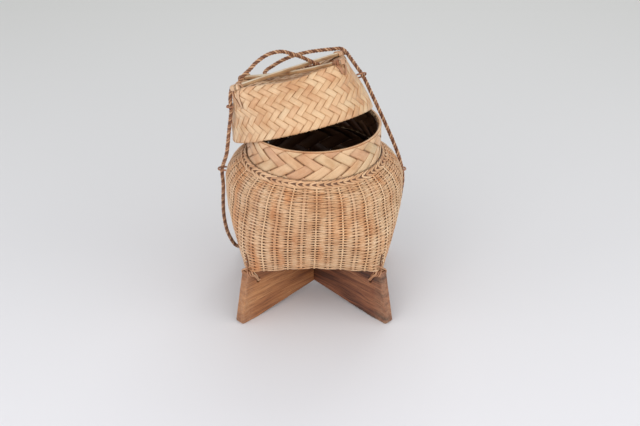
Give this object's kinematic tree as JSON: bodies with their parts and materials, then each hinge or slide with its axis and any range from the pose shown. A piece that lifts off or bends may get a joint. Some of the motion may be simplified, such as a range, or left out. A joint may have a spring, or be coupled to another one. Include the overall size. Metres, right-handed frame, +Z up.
{
  "type": "rice basket",
  "caption": "Woven bamboo basket, square below and round above, on crossed plank feet, with a round collar, a tipped square-topped lid with crossed slats, and a carrying cord.",
  "frame": {"origin": "on the ground under the middle of the basket", "axes": "+Z up; +Y towards the back, where the cord ends are knotted through the planks; +X to the right as the front is seen"},
  "size_m": [0.2225, 0.2076, 0.3021],
  "materials": {
    "plank_wood": "worn, oiled hardwood",
    "bamboo_weave": "plain weave of thin bamboo splints",
    "bamboo_twill": "twill weave of flat bamboo strips",
    "bamboo_slat": "smooth split bamboo",
    "splint": "thin dark splint",
    "cord": "twisted plant fibre"
  },
  "bodies": {
    "basket": {"base_plank_left": "plank_wood", "base_plank_right": "plank_wood", "outer_basket": "bamboo_weave", "inner_basket": "bamboo_twill", "folded_border": "bamboo_weave", "plank_lashing_back_right": "splint", "plank_lashing_back_left": "splint", "plank_lashing_front_left": "splint", "plank_lashing_front_right": "splint", "shoulder_cord_loop_left": "splint", "cord_knot_left": "cord", "shoulder_cord_loop_right": "splint", "cord_knot_right": "cord", "cord_left_tail": "cord", "cord_left_lower": "cord", "cord_right_lower": "cord", "cord_right_tail": "cord"},
    "lid_sling": {"cord_left_upper": "cord", "cord_right_upper": "cord"},
    "lid": {"lid_shell": "bamboo_twill", "lid_lining": "bamboo_twill", "lid_slat_lower": "bamboo_slat", "lid_slat_upper": "bamboo_slat", "lid_lashing_back_right": "splint", "lid_lashing_back_left": "splint", "lid_lashing_front_left": "splint", "lid_lashing_front_right": "splint", "lid_cord_loop_left": "splint", "lid_cord_loop_right": "splint", "cord_front_arch": "cord", "cord_under_slat": "cord", "cord_back_arch": "cord"}
  },
  "joints": [
    {"name": "lid_lift", "type": "slide", "parent": "basket", "child": "lid_sling", "axis": [0, 0, 1], "range_m": [0, 0.05], "deforming": ["cord_left_lower", "cord_right_lower"]},
    {"name": "lid_tip", "type": "hinge", "parent": "lid_sling", "child": "lid", "pos_m": [0.007, -0.0089, 0.16], "axis": [0.7851, 0.6194, 0], "range_deg": [0, 22.65], "deforming": ["cord_left_upper", "cord_right_upper"]}
  ]
}
